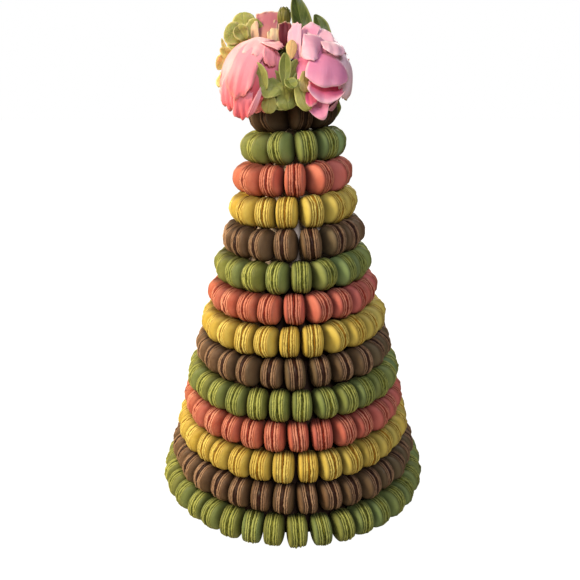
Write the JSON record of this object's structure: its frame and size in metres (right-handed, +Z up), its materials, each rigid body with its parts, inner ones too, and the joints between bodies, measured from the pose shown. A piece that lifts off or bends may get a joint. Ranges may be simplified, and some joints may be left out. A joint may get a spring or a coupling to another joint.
{
  "type": "macaron tower",
  "caption": "Tall cone of macarons on edge, ringed in green, brown, yellow and coral bands, topped with a posy of pink flowers and green leaves.",
  "frame": {"origin": "middle of the cone's flat base, on the surface the tower stands on", "axes": "+Z up the tower's axis; -Y towards the front of the posy; +X to the right seen from the front"},
  "size_m": [0.3947, 0.394, 0.6778],
  "materials": {
    "macaron_green": "matte baked shell, fine grain",
    "macaron_brown": "matte baked shell, fine grain",
    "macaron_yellow": "matte baked shell, fine grain",
    "macaron_coral": "matte baked shell, fine grain",
    "cone_paper": "matte pale covering",
    "petal_coral": "soft petal, paler at the edge",
    "petal_pink": "soft petal, paler at the edge",
    "petal_mauve": "soft petal",
    "hydrangea_green": "soft petal with fine veins",
    "bud_green": "closed bud",
    "leaf_green": "leaf with a midrib",
    "foliage_green": "dark leafy filling"
  },
  "bodies": {
    "root": {"bud_top": "bud_green", "cone": "cone_paper", "hydrangea_back": "hydrangea_green", "hydrangea_front": "hydrangea_green", "hydrangea_left": "hydrangea_green", "hydrangea_right": "hydrangea_green", "hydrangea_top_left": "hydrangea_green", "leaf_back_left": "leaf_green", "leaf_back_right": "leaf_green", "leaf_top": "leaf_green", "leaf_top_small": "leaf_green", "peony_left": "petal_coral", "posy_foliage": "foliage_green", "rose_back_left": "petal_mauve", "rose_back_right": "petal_coral", "rose_right": "petal_pink", "tier_01_green": "macaron_green", "tier_02_brown": "macaron_brown", "tier_03_yellow": "macaron_yellow", "tier_04_coral": "macaron_coral", "tier_05_green": "macaron_green", "tier_06_brown": "macaron_brown", "tier_07_yellow": "macaron_yellow", "tier_08_coral": "macaron_coral", "tier_09_green": "macaron_green", "tier_10_brown": "macaron_brown", "tier_11_yellow": "macaron_yellow", "tier_12_coral": "macaron_coral", "tier_13_green": "macaron_green", "tier_14_brown": "macaron_brown"}
  },
  "joints": []
}
